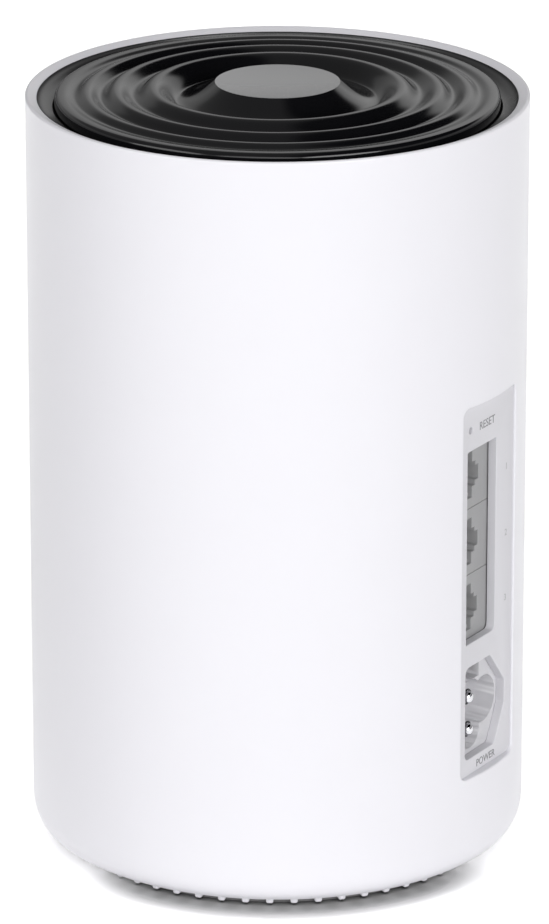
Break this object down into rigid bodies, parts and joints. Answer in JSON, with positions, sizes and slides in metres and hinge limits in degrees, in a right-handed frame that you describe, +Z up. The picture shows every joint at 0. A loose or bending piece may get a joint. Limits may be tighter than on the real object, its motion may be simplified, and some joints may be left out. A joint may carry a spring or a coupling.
{
  "type": "mesh wifi node",
  "caption": "Standing cylindrical wifi node: white sleeve, rippled gloss cap, side bay with network sockets and mains inlet, ribbed air intake, boards and heat sinks inside.",
  "frame": {"origin": "middle of the foot, on the surface it stands on", "axes": "+Z up along the sleeve's axis, +Y out of the port bay, -Y towards the plain side opposite the ports"},
  "size_m": [0.124, 0.124, 0.196],
  "materials": {
    "white_shell": "satin",
    "pale_panel": "fine matte",
    "black_gloss": "high gloss",
    "black_plastic": "matte",
    "foot_rubber": "matte",
    "frame_plastic": "matte",
    "socket_plastic": "matte",
    "plated_metal": "bright",
    "contact_gold": "bright",
    "screw_steel": "bright",
    "sink_aluminium": "satin",
    "board_laminate": "satin",
    "chip_black": "matte",
    "thermal_silicone": "matte",
    "ferrite_dark": "matte",
    "film_yellow": "satin",
    "fuse_glass": "clear",
    "can_blue": "satin"
  },
  "bodies": {
    "node_body": {"antenna_1": "board_laminate", "antenna_2": "board_laminate", "antenna_3": "board_laminate", "antenna_4": "board_laminate", "base_cover": "black_plastic", "base_screw_1": "screw_steel", "base_screw_2": "screw_steel", "base_screw_3": "screw_steel", "base_screw_4": "screw_steel", "bulk_capacitor": "can_blue", "ethernet_jack_1": "socket_plastic", "ethernet_jack_2": "socket_plastic", "ethernet_jack_3": "socket_plastic", "foot_ring": "foot_rubber", "fuse": "fuse_glass", "inlet_housing": "pale_panel", "inlet_pin_1": "plated_metal", "inlet_pin_2": "plated_metal", "inner_frame": "frame_plastic", "intake_grille": "white_shell", "jack_contacts_1": "contact_gold", "jack_contacts_2": "contact_gold", "jack_contacts_3": "contact_gold", "line_capacitor": "film_yellow", "line_choke": "ferrite_dark", "line_transformer_1": "chip_black", "line_transformer_2": "chip_black", "line_transformer_3": "chip_black", "main_board": "board_laminate", "main_heat_sink": "sink_aluminium", "memory_chip_1": "chip_black", "memory_chip_2": "chip_black", "outer_shell": "white_shell", "output_capacitor_1": "can_blue", "output_capacitor_2": "can_blue", "port_panel": "pale_panel", "power_board": "board_laminate", "power_link": "can_blue", "power_transformer": "ferrite_dark", "processor": "chip_black", "radio_shield_1": "plated_metal", "radio_shield_2": "plated_metal", "radio_shield_3": "plated_metal", "rear_heat_sink": "sink_aluminium", "reset_switch": "chip_black", "switch_heat_sink": "sink_aluminium", "thermal_pad": "thermal_silicone", "top_cap": "black_gloss", "vent_collar": "black_gloss"},
    "reset_plunger": {"reset_button": "white_shell"}
  },
  "joints": [
    {"name": "reset_press", "type": "slide", "parent": "node_body", "child": "reset_plunger", "axis": [0, -1, 0], "range_m": [0, 0.0005], "stiffness_N_per_m": 800, "springref_m": -0.0015}
  ]
}
